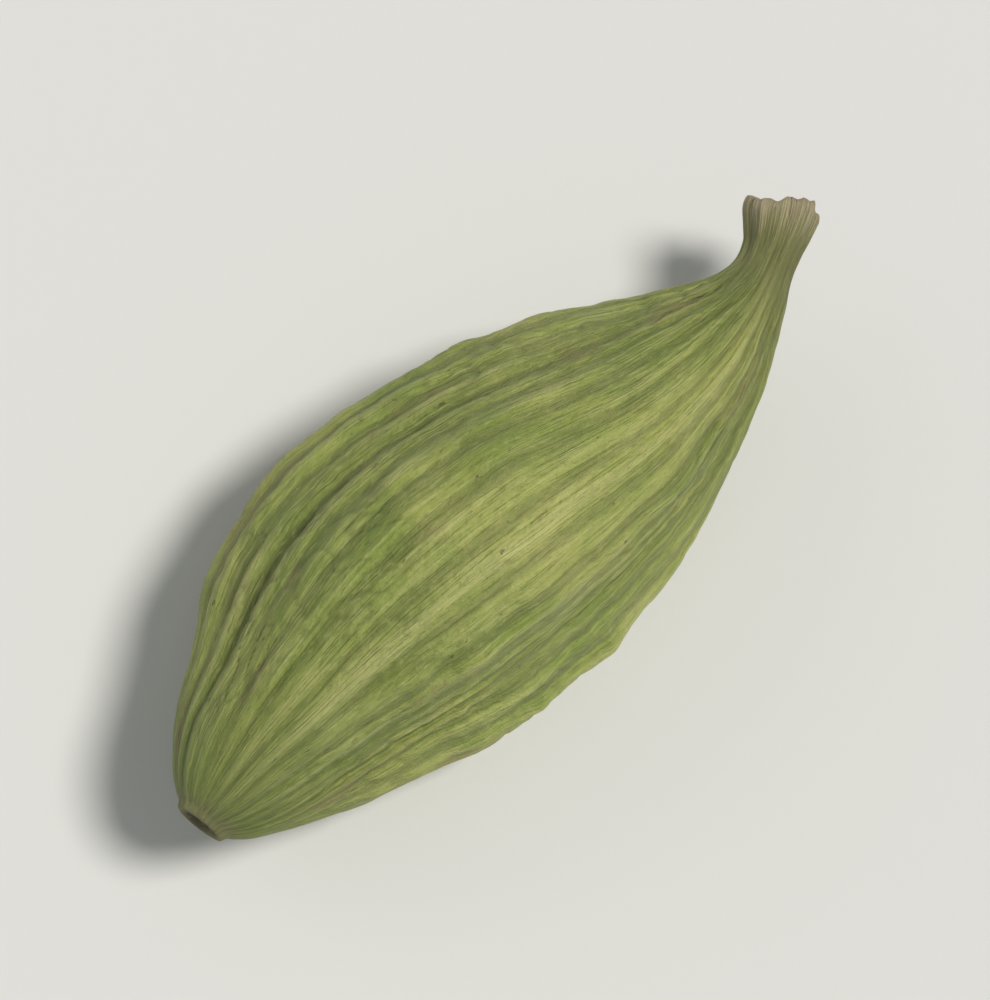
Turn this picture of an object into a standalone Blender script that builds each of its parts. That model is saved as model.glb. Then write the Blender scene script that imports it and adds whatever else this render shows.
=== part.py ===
# A dried green cardamom pod, lying on one of its three faces.
# Run with blender --background --python part.py, or from Blender's text editor. Units are metres.
# The pod lies along X with its beak at +X. The origin is the middle of its footprint, on the surface
# that it rests on.

import math
import random

import bmesh
import bpy
import numpy as np

MM = 0.001

# Driving dimensions
LENGTH = 16.0 * MM
BELLY_RADIUS = 3.22 * MM
BEAK_RADIUS = 0.60 * MM  # at the neck, behind the knob of its end
SCAR_RADIUS = 0.50 * MM
FLATTENING = 0.95  # a dried pod is a little less high than it is wide
FLAT_DEPTH = 0.20 * MM  # how much of the underside is pressed flat where the pod rests

# The three lobes, one over each chamber of seeds, and the furrows between them
LOBES = 3
LOBE_SWELL = 0.088  # as a share of the radius
LOBE_UNEVENNESS = 0.20
FURROW_DEPTHS = (0.13 * MM, 0.05 * MM, 0.22 * MM)  # the second one is underneath
FURROW_WIDTH = 0.026  # in turns round the pod
CREST_LEAN = math.radians(24)  # the top lobe leans towards -Y
LEAN_WIDTH = 0.16  # how much of the skin leans with it, in turns
TWIST = math.radians(14)  # how far the ribs turn round the pod from its base to its beak
UNTWISTED_AT = 0.42  # along the pod, as a share of its length
BODY_BEGINS = (0.03, 0.16)  # along the pod, where the lobes and furrows grow in
BODY_ENDS = (0.84, 0.96)  # along the pod, where they fade out again

# Ribs
RIBS_PER_LOBE = 9
RIB_HEIGHT = 0.15 * MM
RIB_MIDDLE = 0.35  # the share of its height that a rib is sunk by, so that the ribs leave the girth alone
RIB_STRENGTHS = (0.35, 0.85)  # from the weakest to the strongest, beside 1 on the crest of each lobe
RIB_WAVER = 0.25  # how much a rib's strength changes along it
RIB_SHARPNESS = 1.3
RIB_DRIFT = math.radians(3.0)  # uneven spacing
RIB_SWAY = math.radians(2.2)  # from side to side along the pod
SWAY_WAVES = (0.8, 2.4)  # how many of them lie along the pod, at least and at most

# The bumps that the seeds raise, in two rows on each lobe
SEED_PAIRS = 5
FIRST_PAIR = 0.21  # where it lies along the pod, as a share of the length
PAIR_SPACING = 0.112  # as a share of the length
PAIR_STAGGER = 0.25  # how far each seed of a pair is shifted along the pod, in spacings
SEED_BUMP = 0.17 * MM
SEED_STRENGTHS = (0.4, 1.0)
SEED_LENGTH = 0.058  # as a share of the pod's length
SEED_WIDTH = 0.042  # in turns round the pod
SEED_OFFSET = 0.062  # from the middle of a lobe to each of its two rows of seeds, in turns
SEED_SHIFT_ALONG = 0.014  # uneven spacing, as a share of the length
SEED_SHIFT_ROUND = 0.006  # in turns

# The torn end of the beak
BEAK_RAGGEDNESS = 0.14 * MM
RAGGED_FROM = 0.97  # along the pod
BEAK_TEARS = 0.16 * MM  # the notches in the rim of the beak's cup
TORN_FROM = 0.985  # along the pod
TEAR_TOPS = 0.3  # cuts the waves off here, which leaves the rim level between the notches

RANDOM_SEED = 7

# Mesh density
POINTS_PER_RIB = 4
RINGS = 50
END_CROWDING = 0.55  # 0 spaces the rings evenly, and near 1 crowds them at the two ends

RIBS = LOBES * RIBS_PER_LOBE
POD_GREEN = (0.215, 0.245, 0.070, 1.0)

# The outline that turns into the pod: distance from the base as a share of the length, and radius as a
# share of the belly's. It starts in the stalk's scar and ends in the cup of the beak's end.
SCAR = SCAR_RADIUS / BELLY_RADIUS
BEAK = BEAK_RADIUS / BELLY_RADIUS
OUTLINE = [
    (0.009, 0.45 * SCAR),
    (0.001, 0.82 * SCAR),
    (0.002, 1.04 * SCAR),
    (0.009, 1.16 * SCAR),
    (0.015, 0.222),
    (0.030, 0.306),
    (0.055, 0.402),
    (0.085, 0.498),
    (0.125, 0.602),
    (0.175, 0.715),
    (0.245, 0.858),
    (0.320, 0.964),
    (0.395, 1.000),
    (0.475, 0.984),
    (0.560, 0.926),
    (0.650, 0.812),
    (0.735, 0.650),
    (0.815, 0.452),
    (0.870, 0.304),
    (0.905, 1.20 * BEAK),
    (0.930, 1.00 * BEAK),
    (0.952, 1.00 * BEAK),
    (0.972, 1.22 * BEAK),
    (0.991, 1.42 * BEAK),
    (1.000, 1.32 * BEAK),
    (0.997, 1.12 * BEAK),
    (0.985, 0.92 * BEAK),
    (0.977, 0.50 * BEAK),
]
SCAR_DISH = 0.011  # how deep in the middle of the scar lies, as a share of the length
BEAK_DISH = 0.975  # where the bottom of the cup in the beak's end lies

# The middle line: distance from the base as a share of the length, sideways, and upwards
MIDDLE_LINE = [
    (0.00, -0.10 * MM, 0.20 * MM),
    (0.15, 0.18 * MM, 0.08 * MM),
    (0.32, 0.41 * MM, 0.00 * MM),
    (0.50, 0.08 * MM, 0.00 * MM),
    (0.66, -0.33 * MM, 0.04 * MM),
    (0.80, -0.53 * MM, 0.14 * MM),
    (0.89, -0.48 * MM, 0.22 * MM),
    (0.95, -0.18 * MM, 0.29 * MM),
    (1.00, 0.28 * MM, 0.36 * MM),
]


def smooth_curve(points, steps=24):
    """A Catmull-Rom curve through the points, as an array with a row for each place on it."""
    padded = np.array([points[0], *points, points[-1]])
    t = (np.arange(steps) / steps)[:, None]
    pieces = []
    for before, start, end, after in zip(padded, padded[1:], padded[2:], padded[3:]):
        bend = 2 * before - 5 * start + 4 * end - after
        turn = 3 * start - before - 3 * end + after
        pieces.append(start + 0.5 * ((end - before) * t + bend * t**2 + turn * t**3))
    return np.vstack([*pieces, padded[-1]])


def rings_along_outline():
    """Where each ring lies along the pod, as a share of the length, and its plain radius."""
    curve = smooth_curve(OUTLINE) * (1.0, BELLY_RADIUS)
    steps = np.diff(curve * (LENGTH, 1.0), axis=0)
    travelled = np.concatenate([[0.0], np.cumsum(np.hypot(steps[:, 0], steps[:, 1]))])
    share = np.linspace(0, 1, RINGS + 1)
    share = share - END_CROWDING * np.sin(2 * np.pi * share) / (2 * np.pi)
    stops = share * travelled[-1]
    return np.interp(stops, travelled, curve[:, 0]), np.interp(stops, travelled, curve[:, 1])


def wander(name, values, waves, reach):
    """A smooth function of the values, between about -1 and 1, with that many waves in its reach."""
    draw = random.Random(f"{RANDOM_SEED} {name}")
    weights = [1 / math.sqrt(wave) for wave in range(1, waves + 1)]
    total = np.zeros_like(values)
    for wave, weight in enumerate(weights, start=1):
        total += weight * np.sin(2 * np.pi * wave * values / reach + draw.uniform(0, 2 * math.pi))
    return total * 1.4 / sum(weights)  # the waves seldom peak together, so 1.4 brings the sum near to 1


def sway(along, around):
    """Long slanting waves over the skin, between about -1 and 1."""
    draw = random.Random(f"{RANDOM_SEED} sway")
    total = np.zeros_like(around)
    slants = (-3, -2, -1, 1, 2, 3)
    for turns in slants:
        total += np.sin(2 * np.pi * (draw.uniform(*SWAY_WAVES) * along + turns * around + draw.random()))
    usual_peak = len(slants) / 2
    return total / usual_peak


def fade(values, start, end):
    """0 up to start, 1 from end on, and smooth between."""
    share = np.clip((values - start) / (end - start), 0, 1)
    return share * share * (3 - 2 * share)


def bell(distance, width):
    return np.exp(-0.5 * (distance / width) ** 2)


def turns_apart(a, b):
    """How far a lies from b round the pod, from -0.5 to 0.5 turns."""
    return (a - b + 0.5) % 1 - 0.5


def lobe_relief(along, around):
    """The swell of the lobes, as a share of the radius."""
    nearest = np.round(around * LOBES) % LOBES
    swell = np.cos(2 * np.pi * LOBES * around)
    for lobe in range(LOBES):
        unevenness = LOBE_UNEVENNESS * wander(f"lobe {lobe}", along, waves=2, reach=1.6)
        swell = np.where(nearest == lobe, swell + unevenness * (1 + swell) / 2, swell)
    return LOBE_SWELL * swell


def furrow_relief(around):
    depth = np.zeros_like(around)
    for furrow, full_depth in enumerate(FURROW_DEPTHS):
        depth -= full_depth * bell(turns_apart(around, (furrow + 0.5) / LOBES), FURROW_WIDTH)
    return depth


def rib_relief(along, around):
    """How high the ribs stand, from 0 in a groove to 1 on the strongest crest."""
    nearest = np.round(around * RIBS)
    crest = np.cos(np.pi * (around * RIBS - nearest)) ** 2
    draw = random.Random(f"{RANDOM_SEED} ribs")
    strength = np.zeros_like(around)
    for rib in range(RIBS):
        plain = 1.0 if rib % RIBS_PER_LOBE == 0 else draw.uniform(*RIB_STRENGTHS)
        waver = RIB_WAVER * wander(f"rib {rib}", along, waves=4, reach=1.3)
        strength = np.where(nearest % RIBS == rib, plain + waver, strength)
    return strength * crest**RIB_SHARPNESS


def seed_relief(along, around):
    """Two rows of bumps on each lobe, where the seeds press the dried skin outwards."""
    draw = random.Random(f"{RANDOM_SEED} seeds")
    height = np.zeros_like(around)
    for lobe in range(LOBES):
        for side in (-1, 1):
            for pair in range(SEED_PAIRS):
                seed_along = FIRST_PAIR + PAIR_SPACING * (pair + PAIR_STAGGER * side)
                seed_along += draw.uniform(-SEED_SHIFT_ALONG, SEED_SHIFT_ALONG)
                seed_around = lobe / LOBES + side * SEED_OFFSET
                seed_around += draw.uniform(-SEED_SHIFT_ROUND, SEED_SHIFT_ROUND)
                near = bell(along - seed_along, SEED_LENGTH / 2)
                near = near * bell(turns_apart(around, seed_around), SEED_WIDTH / 2)
                height += draw.uniform(*SEED_STRENGTHS) * near
    return SEED_BUMP * height


def middle_line(along):
    """The points of the middle line there, and the direction that it takes."""
    curve = smooth_curve(MIDDLE_LINE) * (LENGTH, 1.0, 1.0)
    direction = np.gradient(curve, curve[:, 0], axis=0)
    middle = [np.interp(along * LENGTH, curve[:, 0], curve[:, axis]) for axis in range(3)]
    forwards = [np.interp(along * LENGTH, curve[:, 0], direction[:, axis]) for axis in range(3)]
    forwards = np.stack(forwards, axis=-1)
    return np.stack(middle, axis=-1), forwards / np.linalg.norm(forwards, axis=-1, keepdims=True)


def pod_surface(along, plain_radius, around):
    """Points of the skin. along is a share of the length, and around is in turns from the top lobe."""
    slimness = plain_radius / BELLY_RADIUS
    on_body = fade(along, *BODY_BEGINS) * (1 - fade(along, *BODY_ENDS))
    radius = plain_radius * (1 + on_body * lobe_relief(along, around))
    radius += on_body * slimness * furrow_relief(around)
    radius += seed_relief(along, around)
    radius += RIB_HEIGHT * slimness * (rib_relief(along, around) - RIB_MIDDLE)

    angle = math.pi / 2 + 2 * np.pi * around + TWIST * (along - UNTWISTED_AT)
    angle += CREST_LEAN * bell(turns_apart(around, 0), LEAN_WIDTH)
    angle += RIB_DRIFT * wander("drift", around, waves=7, reach=1.0)
    angle += RIB_SWAY * on_body * sway(along, around)

    outwards = np.stack([np.zeros_like(radius), np.cos(angle), np.sin(angle) * FLATTENING], axis=-1)
    middle, forwards = middle_line(along)
    outwards -= forwards * (outwards * forwards).sum(axis=-1, keepdims=True)
    edge = wander("beak's edge", around, waves=6, reach=1.0)
    ragged = BEAK_RAGGEDNESS * fade(along, RAGGED_FROM, 1.0) * edge
    tears = np.minimum(wander("beak's tears", around, waves=17, reach=1.0), TEAR_TOPS)
    ragged += BEAK_TEARS * fade(along, TORN_FROM, 1.0) * tears
    return middle + forwards * ragged[..., None] + outwards * radius[..., None]


def settle(points):
    """Presses the lowest part of the skin flat, and moves the pod to rest on Z 0 around the origin."""
    low = points.min(axis=0)
    high = points.max(axis=0)
    points = points - ((low[0] + high[0]) / 2, (low[1] + high[1]) / 2, low[2] + FLAT_DEPTH)
    points[:, 2] = np.maximum(points[:, 2], 0.0)
    return points


def pod_points():
    """The points of every ring, one ring after another, then the middles of the two ends."""
    along, plain_radius = rings_along_outline()
    around = np.arange(RIBS * POINTS_PER_RIB) / (RIBS * POINTS_PER_RIB)
    grid_along, grid_around = np.meshgrid(along, around, indexing="ij")
    grid_radius = np.broadcast_to(plain_radius[:, None], grid_along.shape)
    skin = pod_surface(grid_along, grid_radius, grid_around).reshape(-1, 3)
    ends = np.array([SCAR_DISH, BEAK_DISH])
    middles = pod_surface(ends, np.zeros(2), np.zeros(2))
    return settle(np.vstack([skin, middles]))


def pod_mesh():
    """One closed skin over the rings and the two middles."""
    skin = bmesh.new()
    verts = [skin.verts.new(point) for point in pod_points()]
    scar_middle, beak_middle = verts[-2:]
    per_ring = RIBS * POINTS_PER_RIB
    rings = [verts[i * per_ring : (i + 1) * per_ring] for i in range(RINGS + 1)]
    for i in range(per_ring):
        j = (i + 1) % per_ring
        for first, second in zip(rings, rings[1:]):
            skin.faces.new((first[i], first[j], second[j], second[i]))
        skin.faces.new((scar_middle, rings[0][j], rings[0][i]))
        skin.faces.new((beak_middle, rings[-1][i], rings[-1][j]))
    bmesh.ops.recalc_face_normals(skin, faces=skin.faces)
    mesh = bpy.data.meshes.new("cardamom_pod")
    skin.to_mesh(mesh)
    skin.free()
    return mesh


def pod_material():
    material = bpy.data.materials.new("pod_skin")
    material.use_nodes = True
    shader = material.node_tree.nodes["Principled BSDF"]
    shader.inputs["Base Color"].default_value = POD_GREEN
    shader.inputs["Roughness"].default_value = 0.65
    shader.inputs["Metallic"].default_value = 0.0
    return material


def main():
    for obj in list(bpy.data.objects):
        bpy.data.objects.remove(obj)
    pod = bpy.data.objects.new("cardamom_pod", pod_mesh())
    bpy.context.scene.collection.objects.link(pod)
    pod.data.shade_smooth()
    pod.data.set_sharp_from_angle(angle=math.radians(60))
    pod.data.materials.append(pod_material())


main()
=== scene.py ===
# Looks for a dried green cardamom pod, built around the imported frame. Units are metres.
# The husk repeats the formula of the CAD solid at a finer pitch, and adds the low relief of dried skin:
# fine veins, small wrinkles, thin creases, shallow dents, and pleats round the neck of the beak.

import math
import random

import bpy
import numpy as np
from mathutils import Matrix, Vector


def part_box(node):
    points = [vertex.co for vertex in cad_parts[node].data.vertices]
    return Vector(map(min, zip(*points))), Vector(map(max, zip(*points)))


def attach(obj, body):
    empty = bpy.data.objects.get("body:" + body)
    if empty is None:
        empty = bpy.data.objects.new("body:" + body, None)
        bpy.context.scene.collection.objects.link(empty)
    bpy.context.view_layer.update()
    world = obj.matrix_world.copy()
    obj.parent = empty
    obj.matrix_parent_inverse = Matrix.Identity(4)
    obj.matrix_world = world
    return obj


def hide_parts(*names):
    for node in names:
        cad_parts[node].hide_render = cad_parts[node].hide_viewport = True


NODE = "cardamom_pod"

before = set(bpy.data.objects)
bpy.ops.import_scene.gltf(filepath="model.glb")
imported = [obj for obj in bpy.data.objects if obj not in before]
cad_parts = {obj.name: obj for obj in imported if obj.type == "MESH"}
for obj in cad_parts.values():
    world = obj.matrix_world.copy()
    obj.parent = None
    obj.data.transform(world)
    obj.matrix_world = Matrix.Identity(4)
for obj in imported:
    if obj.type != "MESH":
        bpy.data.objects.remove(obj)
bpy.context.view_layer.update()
pod_low, pod_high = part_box(NODE)
pod_size = pod_high - pod_low
pod_middle = (pod_low + pod_high) / 2

# The frame gives the scale: the CAD solid's box is this long, from its base to its ragged beak's end
CAD_LENGTH_IN_MM = 16.430
MM = pod_size.x / CAD_LENGTH_IN_MM

# Driving dimensions, as in the CAD solid
LENGTH = 16.0 * MM
BELLY_RADIUS = 3.22 * MM
BEAK_RADIUS = 0.60 * MM  # at the neck, behind the knob of its end
SCAR_RADIUS = 0.50 * MM
FLATTENING = 0.95  # a dried pod is a little less high than it is wide
FLAT_DEPTH = 0.20 * MM  # how much of the underside is pressed flat where the pod rests

# The three lobes, one over each chamber of seeds, and the furrows between them, as in the CAD solid
LOBES = 3
LOBE_SWELL = 0.088  # as a share of the radius
LOBE_UNEVENNESS = 0.20
FURROW_DEPTHS = (0.13 * MM, 0.05 * MM, 0.22 * MM)  # the second one is underneath
FURROW_WIDTH = 0.026  # in turns round the pod
CREST_LEAN = math.radians(24)  # the top lobe leans towards -Y
LEAN_WIDTH = 0.16  # how much of the skin leans with it, in turns
TWIST = math.radians(14)  # how far the ribs turn round the pod from its base to its beak
UNTWISTED_AT = 0.42  # along the pod, as a share of its length
BODY_BEGINS = (0.03, 0.16)  # along the pod, where the lobes and furrows grow in
BODY_ENDS = (0.84, 0.96)  # along the pod, where they fade out again

# Ribs, as in the CAD solid
RIBS_PER_LOBE = 9
RIBS = LOBES * RIBS_PER_LOBE
RIB_HEIGHT = 0.15 * MM
RIB_MIDDLE = 0.35  # the share of its height that a rib is sunk by, so that the ribs leave the girth alone
RIB_STRENGTHS = (0.35, 0.85)  # from the weakest to the strongest, beside 1 on the crest of each lobe
RIB_WAVER = 0.25  # how much a rib's strength changes along it
RIB_SHARPNESS = 1.3
RIB_DRIFT = math.radians(3.0)  # uneven spacing
RIB_SWAY = math.radians(2.2)  # from side to side along the pod
SWAY_WAVES = (0.8, 2.4)  # how many of them lie along the pod, at least and at most

# The bumps that the seeds raise, in two rows on each lobe, as in the CAD solid
SEED_PAIRS = 5
FIRST_PAIR = 0.21  # where it lies along the pod, as a share of the length
PAIR_SPACING = 0.112  # as a share of the length
PAIR_STAGGER = 0.25  # how far each seed of a pair is shifted along the pod, in spacings
SEED_BUMP = 0.17 * MM
SEED_STRENGTHS = (0.4, 1.0)
SEED_LENGTH = 0.058  # as a share of the pod's length
SEED_WIDTH = 0.042  # in turns round the pod
SEED_OFFSET = 0.062  # from the middle of a lobe to each of its two rows of seeds, in turns
SEED_SHIFT_ALONG = 0.014  # uneven spacing, as a share of the length
SEED_SHIFT_ROUND = 0.006  # in turns

# The torn end of the beak, as in the CAD solid
BEAK_RAGGEDNESS = 0.14 * MM
RAGGED_FROM = 0.97  # along the pod
BEAK_TEARS = 0.16 * MM  # the notches in the rim of the beak's cup
TORN_FROM = 0.985  # along the pod
TEAR_TOPS = 0.3  # cuts the waves off here, which leaves the rim level between the notches

RANDOM_SEED = 7  # the CAD solid's, so that its uneven forms come out the same here

# Fine veins between the ribs
VEINS_PER_RIB = 4
VEIN_HEIGHT = 0.042 * MM
VEIN_SWAY = 0.004  # from side to side, in turns
VEIN_GROOVE = 0.2  # how deep the skin sinks between them, as a share of their height
VEINS_GROW = (0.0, 0.25)  # the radii between which they grow in at the slim ends, as shares of the belly's

# Small wrinkles across the skin
WRINKLE_HEIGHT = 0.034 * MM
WRINKLE_SLANT = 0.05  # in turns
WRINKLE_SHARES = (0.5, 0.8)  # how high the fine and the broad ones stand, as shares of the height
RIB_STIFFNESS = 0.6  # how much less the skin wrinkles on a rib than in a groove

# Thin branching creases
CREASE_DEPTH = 0.040 * MM
CREASE_SWAY = 0.02  # from side to side, in turns
CREASE_WIDTH = 0.13  # as a share of the height of the patches whose middle level the creases follow
FINE_CREASES = 0.5  # how strongly the fine ones bend the others
CREASED_PLACES = (-0.5, 0.5)  # the random values between which the creases grow in

# Shallow dents, deeper towards the ends where no seed fills the husk
DENT_DEPTH = 0.09 * MM
DENT_SPARING = 0.25  # raises the random values, so that only the lower ones dent the skin
DENTS_ON_BELLY = 0.6  # as a share of the depth
DENTS_BY_BEAK = 0.8  # how much is added to that share there
DENTS_BY_BASE = 0.4
BEAK_EMPTIES = (0.62, 0.80)  # along the pod
BASE_EMPTIES = (0.20, 0.08)  # along the pod, towards the base

# Pleats round the neck of the beak
BEAK_PLEATS = 11
BEAK_PLEAT_DEPTH = 0.058 * MM
PLEAT_DRIFT = 2  # uneven spacing, in radians of a pleat's own wave
PLEATS_BEGIN = (0.90, 0.95)  # along the pod
PLEATS_IN_CUP = (0.05, 0.16)  # the radii between which they grow in out of the cup, as shares of the belly's

# Withered strands in the cup of the beak
BEAK_FIBRES = 15
BEAK_FIBRE_POINTS = 9  # along each
BEAK_FIBRE_LENGTH = 0.46 * MM
BEAK_FIBRE_RADIUS = 0.048 * MM
BEAK_FIBRE_SHIFT = 0.35  # uneven spacing, in spacings
BEAK_FIBRE_ROOTS = (0.35, 0.75)  # how far from the middle of the cup, in the beak's radii
BEAK_FIBRE_REACHES = (0.55, 1.0)  # as shares of the length
BEAK_FIBRE_LEANS = (-0.15, 0.30)  # from inwards to outwards, as shares of the reach
BEAK_FIBRE_CURL = 0.45  # how far a tip bends aside, as a share of the reach
BEAK_FIBRE_GIRTHS = (0.6, 1.0)  # as shares of the radius
BEAK_FIBRE_TAPER = 0.6

# Stubs of the stalk's vessels in the dish of the scar
SCAR_FIBRES = 9
SCAR_FIBRE_POINTS = 6  # along each
SCAR_FIBRE_LENGTH = 0.15 * MM
SCAR_FIBRE_RADIUS = 0.058 * MM
SCAR_FIBRE_SHIFT = 0.3  # uneven spacing, in spacings
SCAR_FIBRE_ROOTS = (0.18, 0.48, 0.48)  # by turns: how far from the middle of the dish, in the scar's radii
SCAR_FIBRE_SPREAD = (0.8, 1.2)  # what that distance is multiplied by
SCAR_FIBRE_SUNK = 0.002  # how deep they are rooted under the dish, as a share of the pod's length
SCAR_FIBRE_REACHES = (0.5, 1.0)  # as shares of the length
SCAR_FIBRE_GIRTHS = (0.7, 1.1)  # as shares of the radius
SCAR_FIBRE_TAPER = 0.5

# Mesh density
POINTS_PER_RIB = 14
PER_RING = RIBS * POINTS_PER_RIB
RINGS = 260
END_CROWDING = 0.40  # 0 spaces the rings evenly, and near 1 crowds them at the two ends
STRAND_SIDES = 6

# The outline: distance from the base and radius, as shares. It is the CAD solid's, with one more ring in
# the hollow at each end, so that the finer skin closes smoothly there.
SCAR = SCAR_RADIUS / BELLY_RADIUS
BEAK = BEAK_RADIUS / BELLY_RADIUS
OUTLINE = [
    (0.011, 0.12 * SCAR),
    (0.009, 0.45 * SCAR),
    (0.001, 0.82 * SCAR),
    (0.002, 1.04 * SCAR),
    (0.009, 1.16 * SCAR),
    (0.015, 0.222),
    (0.030, 0.306),
    (0.055, 0.402),
    (0.085, 0.498),
    (0.125, 0.602),
    (0.175, 0.715),
    (0.245, 0.858),
    (0.320, 0.964),
    (0.395, 1.000),
    (0.475, 0.984),
    (0.560, 0.926),
    (0.650, 0.812),
    (0.735, 0.650),
    (0.815, 0.452),
    (0.870, 0.304),
    (0.905, 1.20 * BEAK),
    (0.930, 1.00 * BEAK),
    (0.952, 1.00 * BEAK),
    (0.972, 1.22 * BEAK),
    (0.991, 1.42 * BEAK),
    (1.000, 1.32 * BEAK),
    (0.997, 1.12 * BEAK),
    (0.985, 0.92 * BEAK),
    (0.977, 0.50 * BEAK),
    (0.975, 0.14 * BEAK),
]
SCAR_DISH = 0.011  # how deep in the middle of the scar lies, as a share of the length
BEAK_DISH = 0.975  # where the bottom of the cup in the beak's end lies

# The middle line: distance from the base as a share of the length, sideways, and upwards
MIDDLE_LINE = [
    (0.00, -0.10 * MM, 0.20 * MM),
    (0.15, 0.18 * MM, 0.08 * MM),
    (0.32, 0.41 * MM, 0.00 * MM),
    (0.50, 0.08 * MM, 0.00 * MM),
    (0.66, -0.33 * MM, 0.04 * MM),
    (0.80, -0.53 * MM, 0.14 * MM),
    (0.89, -0.48 * MM, 0.22 * MM),
    (0.95, -0.18 * MM, 0.29 * MM),
    (1.00, 0.28 * MM, 0.36 * MM),
]

# Colours, linear
LEAF_GREEN = (0.202, 0.266, 0.043, 1.0)
YELLOW_GREEN = (0.325, 0.355, 0.076, 1.0)
BASE_GREEN = (0.150, 0.215, 0.048, 1.0)
# pale straw; on the crests of the ribs and lobes it is partly a painted highlight
STRAW_AND_PAINTED_HIGHLIGHT = (0.520, 0.510, 0.190, 1.0)
# dark olive; in the grooves, furrows and creases it is partly painted shade
OLIVE_AND_PAINTED_SHADE = (0.105, 0.125, 0.027, 1.0)
STAIN_BROWN = (0.235, 0.175, 0.075, 1.0)
SPECK_BROWN = (0.090, 0.055, 0.026, 1.0)
DRIED_TAN = (0.330, 0.295, 0.150, 1.0)
DRIED_PINK = (0.540, 0.442, 0.280, 1.0)
RIM_BROWN = (0.190, 0.125, 0.080, 1.0)
DISH_BROWN = (0.110, 0.070, 0.040, 1.0)
FLOOR_WHITE = (0.72, 0.71, 0.68, 1.0)
SKY_WHITE = (0.90, 0.95, 1.0, 1.0)
WINDOW_WHITE = (1.0, 0.985, 0.95)
FILL_WHITE = (0.94, 0.97, 1.0)

# The tints of the husk, laid over each other one by one. Each has what it follows, the value there that it
# starts from, the value where it is strongest, how strong that is, and its colour. Between the two lists
# come the striae, the thin lines along the fibres.
RELIEF_TINTS = [
    # crests of the lobes paler and their flanks greener: partly their own colour, partly a painted highlight
    # on the crests and painted shade on the flanks
    ("lobe", 0.55, 1.0, 0.17, STRAW_AND_PAINTED_HIGHLIGHT),
    ("lobe", 0.60, 0.10, 0.40, LEAF_GREEN),
    ("mottle", 0.44, 0.70, 0.30, STRAW_AND_PAINTED_HIGHLIGHT),
    ("mottle", 0.50, 0.32, 0.35, LEAF_GREEN),
    ("streak", 0.52, 0.72, 0.40, STRAW_AND_PAINTED_HIGHLIGHT),
    ("streak", 0.48, 0.28, 0.35, OLIVE_AND_PAINTED_SHADE),
    # crests of the ribs paler: partly their own straw colour, partly a painted highlight
    ("rib", 0.45, 1.0, 0.36, STRAW_AND_PAINTED_HIGHLIGHT),
    ("vein", 0.2, 0.8, 0.30, STRAW_AND_PAINTED_HIGHLIGHT),
    # grooves between the ribs, the furrows and the creases darker: partly their own olive, partly painted
    # shade
    ("rib", 0.20, 0.0, 0.45, OLIVE_AND_PAINTED_SHADE),
    ("furrow", 0.25, 1.0, 0.35, OLIVE_AND_PAINTED_SHADE),
    ("crease", 0.2, 1.0, 0.40, OLIVE_AND_PAINTED_SHADE),
]
STRIAE_TINT = 0.10
DRIED_TINTS = [
    ("grain", 0.50, 0.30, 0.35, OLIVE_AND_PAINTED_SHADE),
    ("grain", 0.52, 0.72, 0.30, STRAW_AND_PAINTED_HIGHLIGHT),
    ("along", 0.20, 0.03, 0.42, BASE_GREEN),
    ("stains", 0.56, 0.70, 0.55, STAIN_BROWN),
    ("specks", 0.68, 0.76, 0.80, SPECK_BROWN),
    ("near_beak", 0.86, 0.965, 0.40, DRIED_TAN),
    ("near_beak", 0.968, 0.995, 0.85, DRIED_PINK),
    ("along", 0.994, 1.0, 0.25, RIM_BROWN),
    ("near_base", 0.022, 0.006, 0.55, DRIED_TAN),
    ("slimness", 0.15, 0.06, 0.85, DISH_BROWN),
]

# The husk's bump map: its full height, and the share of it that each pattern adds to the pores'
HUSK_BUMP = 0.042 * MM
PORE_BUMP = 0.45
OTHER_BUMPS = [("strands", 1.3), ("grain", 1.1), ("striae", -0.30), ("cells", -0.30)]
FIBRE_BUMP = 0.016 * MM

# How long the pod is in the coordinates that the husk's patterns follow, where its radius is 1
PATTERN_LENGTH = 5
MAP_MARGIN = 0.01  # left at each end of the husk's map, for the middles of its ends

# Camera, lamps and floor
CAMERA_AZIMUTH = math.radians(-46)
CAMERA_ELEVATION = math.radians(76)
FIELD_OF_VIEW = math.radians(9)
FRAME_HEIGHT = 1.16 * LENGTH
NEAREST_SEEN = 0.1 * LENGTH
FARTHEST_SEEN = 200 * LENGTH
LAMP_DISTANCE = 10 * LENGTH
SKY_BRIGHTNESS = 0.28
FLAT_RADIUS = 14 * LENGTH
RIM_RADIUS = 22 * LENGTH
RIM_HEIGHT = 7 * LENGTH
FLAT_STEPS = 4
RIM_STEPS = 12
FLOOR_SIDES = 96


# Formula of the pod


def smooth_curve(points, steps=24):
    """A Catmull-Rom curve through the points, as an array with a row for each place on it."""
    padded = np.array([points[0], *points, points[-1]])
    t = (np.arange(steps) / steps)[:, None]
    pieces = []
    for before, start, end, after in zip(padded, padded[1:], padded[2:], padded[3:]):
        bend = 2 * before - 5 * start + 4 * end - after
        turn = 3 * start - before - 3 * end + after
        pieces.append(start + 0.5 * ((end - before) * t + bend * t**2 + turn * t**3))
    return np.vstack([*pieces, padded[-1]])


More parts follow.
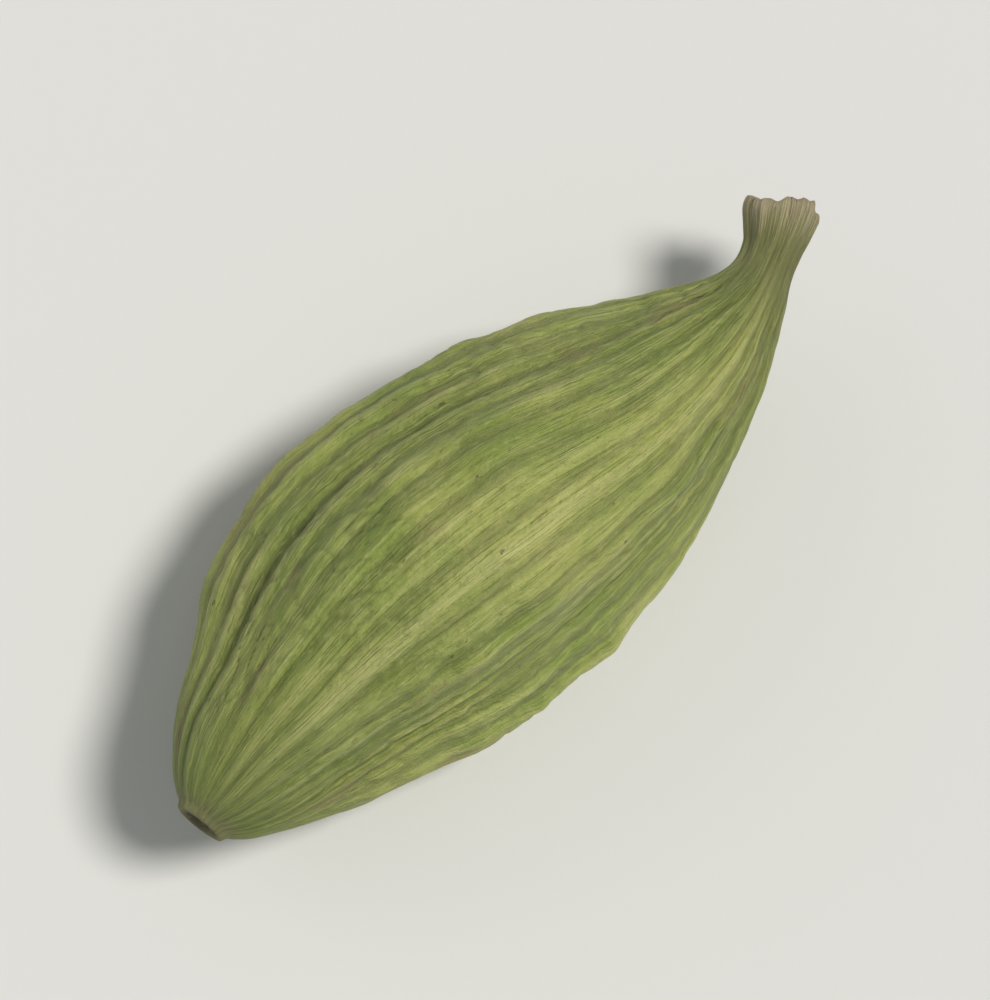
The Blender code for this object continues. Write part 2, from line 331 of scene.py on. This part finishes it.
def rings_along_outline():
    """For each ring: its place along the pod, its plain radius, and how far along the outline it lies."""
    curve = smooth_curve(OUTLINE) * (1.0, BELLY_RADIUS)
    steps = np.diff(curve * (LENGTH, 1.0), axis=0)
    travelled = np.concatenate([[0.0], np.cumsum(np.hypot(steps[:, 0], steps[:, 1]))])
    share = np.linspace(0, 1, RINGS + 1)
    share = share - END_CROWDING * np.sin(2 * np.pi * share) / (2 * np.pi)
    stops = share * travelled[-1]
    along = np.interp(stops, travelled, curve[:, 0])
    return along, np.interp(stops, travelled, curve[:, 1]), share


def wander(name, values, waves, reach):
    """A smooth function of the values, between about -1 and 1, with that many waves in its reach."""
    draw = random.Random(f"{RANDOM_SEED} {name}")
    weights = [1 / math.sqrt(wave) for wave in range(1, waves + 1)]
    total = np.zeros_like(values)
    for wave, weight in enumerate(weights, start=1):
        total += weight * np.sin(2 * np.pi * wave * values / reach + draw.uniform(0, 2 * math.pi))
    return total * 1.4 / sum(weights)  # the waves seldom peak together, so 1.4 brings the sum near to 1


def sway(along, around):
    """Long slanting waves over the skin, between about -1 and 1."""
    draw = random.Random(f"{RANDOM_SEED} sway")
    total = np.zeros_like(around)
    slants = (-3, -2, -1, 1, 2, 3)
    for turns in slants:
        total += np.sin(2 * np.pi * (draw.uniform(*SWAY_WAVES) * along + turns * around + draw.random()))
    usual_peak = len(slants) / 2
    return total / usual_peak


def ease(share):
    """From 0 to 1 as the share is, but level at both ends."""
    return share * share * (3 - 2 * share)


def fade(values, start, end):
    """0 as far as start, 1 past end, and smooth between. The end may be the lower one."""
    return ease(np.clip((values - start) / (end - start), 0, 1))


def bell(distance, width):
    return np.exp(-0.5 * (distance / width) ** 2)


def turns_apart(a, b):
    """How far a lies from b round the pod, from -0.5 to 0.5 turns."""
    return (a - b + 0.5) % 1 - 0.5


def patches(name, along, around, rows, columns):
    """Smooth random values from -1 to 1, in so many rows along the pod and columns round it."""
    draw = random.Random(f"{RANDOM_SEED} {name}")
    cells = np.array([[draw.uniform(-1, 1) for _ in range(columns)] for _ in range(rows + 2)])
    row = np.clip(along, 0, 1) * rows
    column = (around % 1) * columns
    low_row = np.floor(row).astype(int)
    left = np.floor(column).astype(int) % columns
    right = (left + 1) % columns
    down = ease(row - low_row)
    across = ease(column - np.floor(column))
    first = cells[low_row, left] * (1 - across) + cells[low_row, right] * across
    second = cells[low_row + 1, left] * (1 - across) + cells[low_row + 1, right] * across
    return first * (1 - down) + second * down


def lobe_relief(along, around):
    """The swell of the lobes, as a share of the radius."""
    nearest = np.round(around * LOBES) % LOBES
    swell = np.cos(2 * np.pi * LOBES * around)
    for lobe in range(LOBES):
        unevenness = LOBE_UNEVENNESS * wander(f"lobe {lobe}", along, waves=2, reach=1.6)
        swell = np.where(nearest == lobe, swell + unevenness * (1 + swell) / 2, swell)
    return LOBE_SWELL * swell


def furrow_relief(around):
    depth = np.zeros_like(around)
    for furrow, full_depth in enumerate(FURROW_DEPTHS):
        depth -= full_depth * bell(turns_apart(around, (furrow + 0.5) / LOBES), FURROW_WIDTH)
    return depth


def rib_relief(along, around):
    """How high the ribs stand, from 0 in a groove to 1 on the strongest crest."""
    nearest = np.round(around * RIBS)
    crest = np.cos(np.pi * (around * RIBS - nearest)) ** 2
    draw = random.Random(f"{RANDOM_SEED} ribs")
    strength = np.zeros_like(around)
    for rib in range(RIBS):
        plain = 1.0 if rib % RIBS_PER_LOBE == 0 else draw.uniform(*RIB_STRENGTHS)
        waver = RIB_WAVER * wander(f"rib {rib}", along, waves=4, reach=1.3)
        strength = np.where(nearest % RIBS == rib, plain + waver, strength)
    return strength * crest**RIB_SHARPNESS


def seed_relief(along, around):
    """Two rows of bumps on each lobe, where the seeds press the dried skin outwards."""
    draw = random.Random(f"{RANDOM_SEED} seeds")
    height = np.zeros_like(around)
    for lobe in range(LOBES):
        for side in (-1, 1):
            for pair in range(SEED_PAIRS):
                seed_along = FIRST_PAIR + PAIR_SPACING * (pair + PAIR_STAGGER * side)
                seed_along += draw.uniform(-SEED_SHIFT_ALONG, SEED_SHIFT_ALONG)
                seed_around = lobe / LOBES + side * SEED_OFFSET
                seed_around += draw.uniform(-SEED_SHIFT_ROUND, SEED_SHIFT_ROUND)
                near = bell(along - seed_along, SEED_LENGTH / 2)
                near = near * bell(turns_apart(around, seed_around), SEED_WIDTH / 2)
                height += draw.uniform(*SEED_STRENGTHS) * near
    return SEED_BUMP * height


def vein_relief(along, around):
    """Fine raised veins between the ribs, which fade in and out along the pod."""
    swayed = around + VEIN_SWAY * sway(along, around)
    lines = patches("veins", along, swayed, rows=12, columns=RIBS * VEINS_PER_RIB)
    return np.maximum(lines, -VEIN_GROOVE)


def wrinkle_relief(along, around):
    """Small wrinkles across the skin, where it shrank between the ribs."""
    slanted = around + WRINKLE_SLANT * wander("slant", along, waves=9, reach=1.0)
    fine = patches("wrinkles", along, slanted, rows=84, columns=2 * RIBS)
    broad = patches("broad wrinkles", along, slanted, rows=44, columns=RIBS)
    fine_share, broad_share = WRINKLE_SHARES
    return fine_share * fine + broad_share * broad


def crease_relief(along, around):
    """Thin branching creases, from 0 to 1 where one is deepest, in patches over the skin."""
    slanted = around + CREASE_SWAY * sway(along, around)
    network = patches("creases", along, slanted, rows=22, columns=2 * RIBS)
    network += FINE_CREASES * patches("fine creases", along, slanted, rows=50, columns=4 * RIBS)
    where = fade(patches("creased places", along, around, rows=7, columns=9), *CREASED_PLACES)
    return bell(network, CREASE_WIDTH) * where


def dent_relief(along, around):
    """Shallow hollows, from 0 down to about -1 where one is deepest."""
    hollows = np.minimum(patches("dents", along, around, rows=9, columns=14) + DENT_SPARING, 0)
    share = DENTS_ON_BELLY + DENTS_BY_BEAK * fade(along, *BEAK_EMPTIES)
    return hollows * (share + DENTS_BY_BASE * fade(along, *BASE_EMPTIES))


def pleat_relief(along, around, slimness):
    """Pleats round the beak, half of their depth outwards and half inwards."""
    drift = PLEAT_DRIFT * wander("pleats", around, waves=3, reach=1.0)
    pleats = np.cos(2 * np.pi * BEAK_PLEATS * around + drift)
    return BEAK_PLEAT_DEPTH * fade(along, *PLEATS_BEGIN) * fade(slimness, *PLEATS_IN_CUP) * pleats / 2


def middle_line(along):
    """The points of the middle line there, and the direction that it takes."""
    curve = smooth_curve(MIDDLE_LINE) * (LENGTH, 1.0, 1.0)
    direction = np.gradient(curve, curve[:, 0], axis=0)
    middle = [np.interp(along * LENGTH, curve[:, 0], curve[:, axis]) for axis in range(3)]
    forwards = [np.interp(along * LENGTH, curve[:, 0], direction[:, axis]) for axis in range(3)]
    forwards = np.stack(forwards, axis=-1)
    return np.stack(middle, axis=-1), forwards / np.linalg.norm(forwards, axis=-1, keepdims=True)


def skin_radius(along, plain_radius, around, on_body):
    """The radius of the skin, and what the husk's material has to know of its lobes, ribs and the rest."""
    slimness = plain_radius / BELLY_RADIUS
    ribs = rib_relief(along, around)
    furrows = furrow_relief(around)
    veins = vein_relief(along, around)
    creases = crease_relief(along, around)
    radius = plain_radius * (1 + on_body * lobe_relief(along, around))
    radius += on_body * slimness * furrows
    radius += seed_relief(along, around)
    radius += RIB_HEIGHT * slimness * (ribs - RIB_MIDDLE)
    radius += VEIN_HEIGHT * np.sqrt(slimness) * fade(slimness, *VEINS_GROW) * veins
    radius += WRINKLE_HEIGHT * on_body * (1 - RIB_STIFFNESS * ribs) * wrinkle_relief(along, around)
    radius -= CREASE_DEPTH * on_body * creases
    radius += DENT_DEPTH * on_body * dent_relief(along, around)
    radius += pleat_relief(along, around, slimness)
    lobes = (1 + np.cos(2 * np.pi * LOBES * around)) / 2
    deepest = max(FURROW_DEPTHS)
    shades = {"rib": ribs, "furrow": -furrows / deepest, "vein": veins, "crease": creases, "lobe": lobes}
    return radius, shades


def skin_angle(along, around, on_body):
    """The angle round the middle line, which the twist, the leaning crest and the uneven ribs shift."""
    angle = math.pi / 2 + 2 * np.pi * around + TWIST * (along - UNTWISTED_AT)
    angle += CREST_LEAN * bell(turns_apart(around, 0), LEAN_WIDTH)
    angle += RIB_DRIFT * wander("drift", around, waves=7, reach=1.0)
    return angle + RIB_SWAY * on_body * sway(along, around)


def torn_end(along, around):
    """How far the torn end of the beak shifts the skin forwards."""
    edge = wander("beak's edge", around, waves=6, reach=1.0)
    ragged = BEAK_RAGGEDNESS * fade(along, RAGGED_FROM, 1.0) * edge
    tears = np.minimum(wander("beak's tears", around, waves=17, reach=1.0), TEAR_TOPS)
    return ragged + BEAK_TEARS * fade(along, TORN_FROM, 1.0) * tears


def pod_surface(along, plain_radius, around):
    """Points of the skin, and the shades of its relief. around is in turns from the top lobe."""
    on_body = fade(along, *BODY_BEGINS) * (1 - fade(along, *BODY_ENDS))
    radius, shades = skin_radius(along, plain_radius, around, on_body)
    angle = skin_angle(along, around, on_body)
    outwards = np.stack([np.zeros_like(radius), np.cos(angle), np.sin(angle) * FLATTENING], axis=-1)
    middle, forwards = middle_line(along)
    outwards -= forwards * (outwards * forwards).sum(axis=-1, keepdims=True)
    points = middle + forwards * torn_end(along, around)[..., None] + outwards * radius[..., None]
    return points, shades


def press_flat(points):
    """The underside is flat where the pod rests."""
    points[:, 2] = np.maximum(points[:, 2], points[:, 2].min() + FLAT_DEPTH)
    return points


def into_frame(points, skin):
    """Moves the points as the skin has to move to fill the CAD solid's own box."""
    low, high = skin.min(axis=0), skin.max(axis=0)
    return np.array(pod_low) + (points - low) * np.array(pod_size) / (high - low)


# Pieces


def set_attribute(mesh, name, values):
    """A smooth value at each vertex, which the materials read."""
    kind, field = ("FLOAT_VECTOR", "vector") if values.ndim == 2 else ("FLOAT", "value")
    mesh.attributes.new(name, kind, "POINT").data.foreach_set(field, values.astype(np.float32).ravel())


def add_piece(name, vertices, faces, material):
    """A smooth mesh that moves with the pod and stands for its CAD node."""
    mesh = bpy.data.meshes.new(name)
    mesh.from_pydata(vertices.tolist(), [], faces)
    mesh.shade_smooth()
    mesh.materials.append(material)
    piece = bpy.data.objects.new(name, mesh)
    bpy.context.scene.collection.objects.link(piece)
    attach(piece, "root")
    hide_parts(NODE)
    return mesh


def husk_faces():
    """Quads between the rings, and a fan of triangles to the middle of each end."""
    ring, column = np.meshgrid(np.arange(RINGS), np.arange(PER_RING), indexing="ij")
    beside = (column + 1) % PER_RING
    low, high = ring * PER_RING, (ring + 1) * PER_RING
    quads = np.stack([low + column, low + beside, high + beside, high + column], axis=-1)
    column, beside = column[0], beside[0]
    scar_middle = (RINGS + 1) * PER_RING
    beak_middle = scar_middle + 1
    last = RINGS * PER_RING
    scar_fan = np.stack([np.full(PER_RING, scar_middle), beside, column], axis=-1)
    beak_fan = np.stack([np.full(PER_RING, beak_middle), last + column, last + beside], axis=-1)
    return quads.reshape(-1, 4).tolist() + scar_fan.tolist() + beak_fan.tolist()


def lay_out_skin(mesh, travelled):
    """A map of the skin for baking: round the pod, and along it from end to end."""
    ring_heights = MAP_MARGIN + (1 - 2 * MAP_MARGIN) * travelled
    up = np.concatenate([np.repeat(ring_heights, PER_RING), [0.0, 1.0]])
    corner_vertex = np.empty(len(mesh.loops), dtype=np.int32)
    mesh.loops.foreach_get("vertex_index", corner_vertex)
    column = corner_vertex % PER_RING
    quad_corners = RINGS * PER_RING * 4
    quads = column[:quad_corners].reshape(-1, 4)
    closing = quads.max(axis=1) - quads.min(axis=1) > 1
    quads = np.where(closing[:, None] & (quads == 0), PER_RING, quads)
    start = np.arange(PER_RING)
    scar_fan = np.stack([start + 0.5, start + 1, start], axis=-1)
    beak_fan = np.stack([start + 0.5, start, start + 1], axis=-1)
    across = np.concatenate([quads.ravel(), scar_fan.ravel(), beak_fan.ravel()]) / PER_RING
    layout = mesh.uv_layers.new(name="OFBake")
    layout.data.foreach_set("uv", np.stack([across, up[corner_vertex]], axis=-1).astype(np.float32).ravel())


def make_husk(material):
    """The whole skin of the pod, from the stalk's scar to the beak's end."""
    along, plain_radius, travelled = rings_along_outline()
    around = np.arange(PER_RING) / PER_RING
    grid_along, grid_around = np.meshgrid(along, around, indexing="ij")
    grid_along = np.append(grid_along.ravel(), [SCAR_DISH, BEAK_DISH])
    grid_around = np.append(grid_around.ravel(), [0.0, 0.0])
    grid_radius = np.append(np.repeat(plain_radius, PER_RING), [0.0, 0.0])
    skin, shades = pod_surface(grid_along, grid_radius, grid_around)
    skin = press_flat(skin)
    mesh = add_piece("husk", into_frame(skin, skin), husk_faces(), material)
    lay_out_skin(mesh, travelled)

    turn = 2 * np.pi * grid_around
    on_ring = np.where(grid_radius > 0, 1.0, 0.0)
    fibre = [on_ring * np.cos(turn), on_ring * np.sin(turn), grid_along * PATTERN_LENGTH]
    set_attribute(mesh, "fibre", np.stack(fibre, axis=-1))
    set_attribute(mesh, "along", grid_along)
    set_attribute(mesh, "slimness", grid_radius / BELLY_RADIUS)
    for name, values in shades.items():
        set_attribute(mesh, name, values)
    return skin


def strand(path, radii):
    """The vertices and faces of a thin tube along the path, closed at both ends."""
    forwards = np.gradient(path, axis=0)
    forwards /= np.linalg.norm(forwards, axis=1, keepdims=True)
    slanting = (0.3, 0.5, 0.8)  # a direction that no strand runs in
    first = np.cross(forwards, slanting)
    first /= np.linalg.norm(first, axis=1, keepdims=True)
    second = np.cross(forwards, first)
    vertices = []
    for side in range(STRAND_SIDES):
        turn = 2 * math.pi * side / STRAND_SIDES
        vertices.append(path + radii[:, None] * (math.cos(turn) * first + math.sin(turn) * second))
    vertices = np.stack(vertices, axis=1).reshape(-1, 3)
    faces = []
    for ring in range(len(path) - 1):
        low, high = ring * STRAND_SIDES, (ring + 1) * STRAND_SIDES
        for side in range(STRAND_SIDES):
            beside = (side + 1) % STRAND_SIDES
            faces.append([low + side, low + beside, high + beside, high + side])
    last = (len(path) - 1) * STRAND_SIDES
    faces.append(list(range(STRAND_SIDES))[::-1])
    faces.append(list(range(last, last + STRAND_SIDES)))
    return vertices, faces


def joined(strands):
    """Several strands as one set of vertices and faces."""
    vertices, faces = [], []
    count = 0
    for points, corners in strands:
        vertices.append(points)
        faces += [[corner + count for corner in face] for face in corners]
        count += len(points)
    return np.vstack(vertices), faces


def make_beak_fibres(skin, material):
    """Withered strands of the flower, rooted in the bottom of the beak's cup."""
    draw = random.Random(f"{RANDOM_SEED} beak fibres")
    strands = []
    steps = np.linspace(0, 1, BEAK_FIBRE_POINTS)
    middle, forwards = middle_line(np.array([BEAK_DISH]))
    for fibre in range(BEAK_FIBRES):
        shift = draw.uniform(-BEAK_FIBRE_SHIFT, BEAK_FIBRE_SHIFT)
        around = np.array([(fibre + shift) / BEAK_FIBRES])
        from_middle = np.array([draw.uniform(*BEAK_FIBRE_ROOTS) * BEAK_RADIUS])
        root, _ = pod_surface(np.array([BEAK_DISH]), from_middle, around)
        outwards = root[0] - middle[0]
        outwards /= np.linalg.norm(outwards)
        reach = draw.uniform(*BEAK_FIBRE_REACHES) * BEAK_FIBRE_LENGTH
        lean = draw.uniform(*BEAK_FIBRE_LEANS)
        aside = np.cross(forwards[0], outwards) * draw.uniform(-BEAK_FIBRE_CURL, BEAK_FIBRE_CURL)
        course = np.outer(steps, forwards[0]) + np.outer(lean * steps, outwards) + np.outer(steps**2, aside)
        girth = BEAK_FIBRE_RADIUS * draw.uniform(*BEAK_FIBRE_GIRTHS)
        strands.append(strand(root[0] + reach * course, girth * (1 - BEAK_FIBRE_TAPER * steps)))
    vertices, faces = joined(strands)
    add_piece("beak_fibres", into_frame(vertices, skin), faces, material)


def make_scar_fibres(skin, material):
    """Torn ends of the stalk's vessels, in the dish of the scar."""
    draw = random.Random(f"{RANDOM_SEED} scar fibres")
    strands = []
    steps = np.linspace(0, 1, SCAR_FIBRE_POINTS)
    middle, forwards = middle_line(np.array([SCAR_DISH + SCAR_FIBRE_SUNK]))
    for fibre in range(SCAR_FIBRES):
        turn = 2 * math.pi * (fibre + draw.uniform(-SCAR_FIBRE_SHIFT, SCAR_FIBRE_SHIFT)) / SCAR_FIBRES
        from_middle = SCAR_RADIUS * SCAR_FIBRE_ROOTS[fibre % len(SCAR_FIBRE_ROOTS)]
        from_middle *= draw.uniform(*SCAR_FIBRE_SPREAD)
        root = middle[0] + from_middle * np.array([0, math.cos(turn), math.sin(turn)])
        reach = draw.uniform(*SCAR_FIBRE_REACHES) * SCAR_FIBRE_LENGTH
        path = root - np.outer(steps * reach, forwards[0])
        girth = SCAR_FIBRE_RADIUS * draw.uniform(*SCAR_FIBRE_GIRTHS)
        strands.append(strand(path, girth * (1 - SCAR_FIBRE_TAPER * steps**2)))
    vertices, faces = joined(strands)
    add_piece("scar_fibres", into_frame(vertices, skin), faces, material)


# Materials


def add(tree, kind, inputs=None, **settings):
    """A node with its settings made and its inputs linked or set."""
    node = tree.nodes.new(kind)
    for name, value in settings.items():
        setattr(node, name, value)
    for name, value in (inputs or {}).items():
        if isinstance(value, bpy.types.NodeSocket):
            tree.links.new(value, node.inputs[name])
        else:
            node.inputs[name].default_value = value
    return node


def mix_colours(tree, factor, first, second):
    """The first colour where the factor is 0, and the second where it is 1."""
    factor_input, first_input, second_input, colour_output = 0, 6, 7, 2
    inputs = {factor_input: factor, first_input: first, second_input: second}
    return add(tree, "ShaderNodeMix", inputs, data_type="RGBA").outputs[colour_output]


def math_node(tree, operation, first, second=0.0, third=0.0):
    return add(tree, "ShaderNodeMath", {0: first, 1: second, 2: third}, operation=operation).outputs[0]


def ramp(tree, value, start, end, low=0.0, high=1.0):
    """Goes smoothly from low to high as the value goes from start to end."""
    inputs = {"Value": value, "From Min": start, "From Max": end, "To Min": low, "To Max": high}
    return add(tree, "ShaderNodeMapRange", inputs, interpolation_type="SMOOTHSTEP").outputs["Result"]


def attribute(tree, name, output="Fac"):
    return add(tree, "ShaderNodeAttribute", attribute_name=name).outputs[output]


def squeezed(tree, place, squeeze, offset=(0, 0, 0)):
    """The place, made shorter along the pod, so that what follows it is drawn out that way."""
    inputs = {"Vector": place, "Scale": (1, 1, squeeze), "Location": offset}
    return add(tree, "ShaderNodeMapping", inputs).outputs[0]


def noise(tree, place, scale, detail=3.0, roughness=0.55):
    inputs = {"Vector": place, "Scale": scale, "Detail": detail, "Roughness": roughness}
    return add(tree, "ShaderNodeTexNoise", inputs).outputs["Fac"]


def thin_lines(tree, value, width):
    """1 along the lines where the value crosses its middle, and 0 away from them."""
    away = math_node(tree, "ABSOLUTE", math_node(tree, "SUBTRACT", value, 0.5))
    return ramp(tree, away, start=width, end=0.0)


def cell_edges(tree, place, scale, width):
    """1 along the edges of random cells, and 0 inside them."""
    inputs = {"Vector": place, "Scale": scale, "Randomness": 1.0}
    cells = add(tree, "ShaderNodeTexVoronoi", inputs, feature="DISTANCE_TO_EDGE")
    return ramp(tree, cells.outputs["Distance"], start=width, end=0.0)


def unevenly_along(tree, values, reach):
    """The place along the pod, which the streaks shift to and fro by up to the reach."""
    shift = ramp(tree, values["streak"], start=0.3, end=0.7, low=-reach, high=reach)
    return math_node(tree, "ADD", values["along"], shift)


def new_material(name):
    material = bpy.data.materials.new(name)
    material.use_nodes = True
    tree = material.node_tree
    return material, tree, tree.nodes["Principled BSDF"]


def husk_patterns(tree):
    """What the husk's colour, roughness and bump follow: its relief, and noise drawn out along its fibres."""
    fibre = attribute(tree, "fibre", "Vector")
    reliefs = ("along", "slimness", "lobe", "furrow", "rib", "vein", "crease")
    values = {name: attribute(tree, name) for name in reliefs}
    values["broad"] = noise(tree, squeezed(tree, fibre, 0.8), scale=1.3, detail=2.0)
    values["mottle"] = noise(tree, squeezed(tree, fibre, 0.5), scale=6.0, detail=6.0, roughness=0.68)
    values["streak"] = noise(tree, squeezed(tree, fibre, 0.05), scale=38.0, detail=4.0, roughness=0.6)
    values["grain"] = noise(tree, squeezed(tree, fibre, 0.45), scale=30.0, detail=4.0, roughness=0.65)
    values["pores"] = noise(tree, squeezed(tree, fibre, 0.8), scale=62.0, detail=2.0)
    values["strands"] = noise(tree, squeezed(tree, fibre, 0.035), scale=46.0, detail=3.0, roughness=0.6)

    stained = squeezed(tree, fibre, 0.6, offset=(3.1, 0.4, 1.7))
    values["stains"] = noise(tree, stained, scale=2.6, detail=7.0, roughness=0.68)
    specked = squeezed(tree, fibre, 0.6, offset=(0.3, 5.0, 2.2))
    values["specks"] = noise(tree, specked, scale=22.0)

    waves = noise(tree, squeezed(tree, fibre, 0.05), scale=17.0, detail=2.0)
    values["striae"] = thin_lines(tree, waves, width=0.040)
    shrunk = noise(tree, squeezed(tree, fibre, 0.7, offset=(7.0, 2.0, 0.5)), scale=3.0)
    edges = cell_edges(tree, squeezed(tree, fibre, 0.42), scale=15.0, width=0.25)
    values["cells"] = math_node(tree, "MULTIPLY", edges, ramp(tree, shrunk, start=0.42, end=0.60))

    values["near_beak"] = unevenly_along(tree, values, reach=0.022)
    values["near_base"] = unevenly_along(tree, values, reach=0.008)
    return values


def tinted(tree, colour, values, tints):
    """The colour with the tints laid over it, one by one."""
    for name, start, end, strength, tint in tints:
        colour = mix_colours(tree, ramp(tree, values[name], start, end, high=strength), colour, tint)
    return colour


def husk_colour(tree, values):
    colour = mix_colours(tree, ramp(tree, values["broad"], start=0.36, end=0.64), LEAF_GREEN, YELLOW_GREEN)
    # the relief tints include a painted highlight on the crests and painted shade in the grooves, furrows and
    # creases
    colour = tinted(tree, colour, values, RELIEF_TINTS)
    striae = math_node(tree, "MULTIPLY", values["striae"], STRIAE_TINT)
    colour = mix_colours(tree, striae, colour, OLIVE_AND_PAINTED_SHADE)
    return tinted(tree, colour, values, DRIED_TINTS)


def husk_roughness(tree, values):
    """Rougher and smoother grain, and ribs that are a little smoother than the rest."""
    grain = ramp(tree, values["grain"], start=0.3, end=0.7, low=0.50, high=0.74)
    smoother_ribs = ramp(tree, values["rib"], start=0.4, end=1.0, low=0.0, high=-0.10)
    return math_node(tree, "ADD", grain, smoother_ribs)


def husk_height(tree, values):
    height = math_node(tree, "MULTIPLY", values["pores"], PORE_BUMP)
    for name, share in OTHER_BUMPS:
        height = math_node(tree, "MULTIPLY_ADD", values[name], share, third=height)
    return height


def add_bump(tree, shader, height, strength, distance):
    bump = add(tree, "ShaderNodeBump", {"Height": height, "Strength": strength, "Distance": distance})
    tree.links.new(bump.outputs["Normal"], shader.inputs["Normal"])


def husk_material():
    material, tree, shader = new_material("dried_husk")
    values = husk_patterns(tree)
    tree.links.new(husk_colour(tree, values), shader.inputs["Base Color"])
    tree.links.new(husk_roughness(tree, values), shader.inputs["Roughness"])
    shader.inputs["Specular IOR Level"].default_value = 0.40
    shader.inputs["Sheen Weight"].default_value = 0.06
    shader.inputs["Sheen Roughness"].default_value = 0.5
    add_bump(tree, shader, husk_height(tree, values), strength=1.0, distance=HUSK_BUMP)
    return material


def fibre_material():
    material, tree, shader = new_material("dried_fibres")
    place = add(tree, "ShaderNodeTexCoord").outputs["Object"]
    tone = noise(tree, squeezed(tree, place, 1), scale=4.0 / MM)
    colour = mix_colours(tree, ramp(tree, tone, start=0.35, end=0.65), DRIED_TAN, RIM_BROWN)
    tree.links.new(colour, shader.inputs["Base Color"])
    shader.inputs["Roughness"].default_value = 0.8
    add_bump(tree, shader, tone, strength=0.5, distance=FIBRE_BUMP)
    return material


def floor_material():
    material, _, shader = new_material("pale_floor")
    shader.inputs["Base Color"].default_value = FLOOR_WHITE
    shader.inputs["Roughness"].default_value = 0.85
    return material


# Stage


def floor_profile():
    """Radius and height of each ring of the floor: flat first, then curving up to its rim."""
    profile = [(FLAT_RADIUS * step / FLAT_STEPS, 0.0) for step in range(1, FLAT_STEPS + 1)]
    for step in range(1, RIM_STEPS + 1):
        turn = step / RIM_STEPS * math.pi / 2
        radius = FLAT_RADIUS + (RIM_RADIUS - FLAT_RADIUS) * math.sin(turn)
        profile.append((radius, RIM_HEIGHT * (1 - math.cos(turn))))
    return profile


def make_floor():
    """A flat round floor that curves up at its far rim, so that it is also the backdrop of low views."""
    profile = floor_profile()
    vertices = [(0.0, 0.0, 0.0)]
    for radius, height in profile:
        for side in range(FLOOR_SIDES):
            turn = 2 * math.pi * side / FLOOR_SIDES
            vertices.append((radius * math.cos(turn), radius * math.sin(turn), height))
    faces = [(0, 1 + side, 1 + (side + 1) % FLOOR_SIDES) for side in range(FLOOR_SIDES)]
    for ring in range(len(profile) - 1):
        low, high = 1 + ring * FLOOR_SIDES, 1 + (ring + 1) * FLOOR_SIDES
        for side in range(FLOOR_SIDES):
            beside = (side + 1) % FLOOR_SIDES
            faces.append((low + side, high + side, high + beside, low + beside))
    mesh = bpy.data.meshes.new("floor")
    mesh.from_pydata(vertices, [], faces)
    mesh.shade_smooth()
    mesh.materials.append(floor_material())
    floor = bpy.data.objects.new("floor", mesh)
    bpy.context.scene.collection.objects.link(floor)


def direction(azimuth, elevation):
    """From the pod towards a place at that azimuth and elevation."""
    level = math.cos(elevation)
    return Vector((math.sin(azimuth) * level, -math.cos(azimuth) * level, math.sin(elevation)))


def aim(thing, towards, distance):
    """Sets the thing down at that distance from the pod's middle, facing it."""
    thing.location = pod_middle + towards * distance
    thing.rotation_mode = "QUATERNION"
    thing.rotation_quaternion = towards.to_track_quat("Z", "Y")


def add_lamp(name, azimuth, elevation, softness, brightness, colour):
    """A far soft lamp, with its angles in degrees. brightness is what a white surface facing it would get."""
    lamp = bpy.data.lights.new(name, "SUN")
    lamp.angle = math.radians(softness)
    lamp.energy = brightness * math.pi
    lamp.color = colour
    thing = bpy.data.objects.new(name, lamp)
    bpy.context.scene.collection.objects.link(thing)
    aim(thing, direction(math.radians(azimuth), math.radians(elevation)), LAMP_DISTANCE)


def light_scene():
    world = bpy.data.worlds.new("studio")
    world.use_nodes = True
    background = world.node_tree.nodes["Background"]
    background.inputs["Color"].default_value = SKY_WHITE
    background.inputs["Strength"].default_value = SKY_BRIGHTNESS
    bpy.context.scene.world = world
    add_lamp("window", azimuth=42, elevation=61, softness=16, brightness=0.82, colour=WINDOW_WHITE)
    add_lamp("fill", azimuth=-160, elevation=40, softness=40, brightness=0.06, colour=FILL_WHITE)


def make_camera():
    camera = bpy.data.cameras.new("camera")
    camera.angle = FIELD_OF_VIEW
    camera.clip_start = NEAREST_SEEN
    camera.clip_end = FARTHEST_SEEN
    thing = bpy.data.objects.new("camera", camera)
    bpy.context.scene.collection.objects.link(thing)
    distance = FRAME_HEIGHT / 2 / math.tan(FIELD_OF_VIEW / 2)
    aim(thing, direction(CAMERA_AZIMUTH, CAMERA_ELEVATION), distance)
    bpy.context.scene.camera = thing


skin = make_husk(husk_material())
fibres = fibre_material()
make_beak_fibres(skin, fibres)
make_scar_fibres(skin, fibres)

make_floor()
light_scene()
make_camera()
bpy.context.scene.view_settings.view_transform = "Standard"
